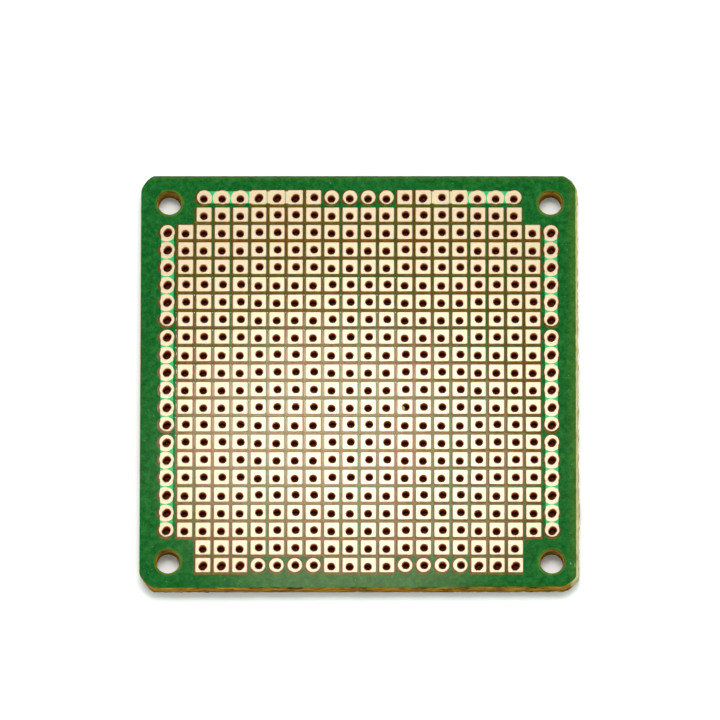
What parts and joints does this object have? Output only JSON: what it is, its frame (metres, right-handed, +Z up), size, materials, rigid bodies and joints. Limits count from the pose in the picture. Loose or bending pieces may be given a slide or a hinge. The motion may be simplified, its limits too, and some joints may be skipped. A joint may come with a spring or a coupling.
{
  "type": "prototype board",
  "caption": "Square single-sided phenolic prototype board with a punched lead grid, square and round copper lands, edge bus strips, green solder mask and screw holes in its corners.",
  "frame": {"origin": "on the underside, in the middle of the sheet and its leaning edges", "axes": "+Z up through the copper side, +X to the right and +Y to the back of the board as it lies in the picture"},
  "size_m": [0.0608, 0.06, 0.0016],
  "materials": {
    "phenolic_sheet": "matte brown paper laminate, rough where it was sheared",
    "green_mask": "thin satin green film",
    "copper_foil": "bare pale copper, lightly brushed"
  },
  "bodies": {
    "root": {"laminate": "phenolic_sheet", "solder_mask": "green_mask", "left_bus_1": "copper_foil", "left_bus_2": "copper_foil", "left_bus_3": "copper_foil", "right_bus_1": "copper_foil", "right_bus_2": "copper_foil", "right_bus_3": "copper_foil", "back_bus_left": "copper_foil", "back_bus_right": "copper_foil"}
  },
  "joints": []
}
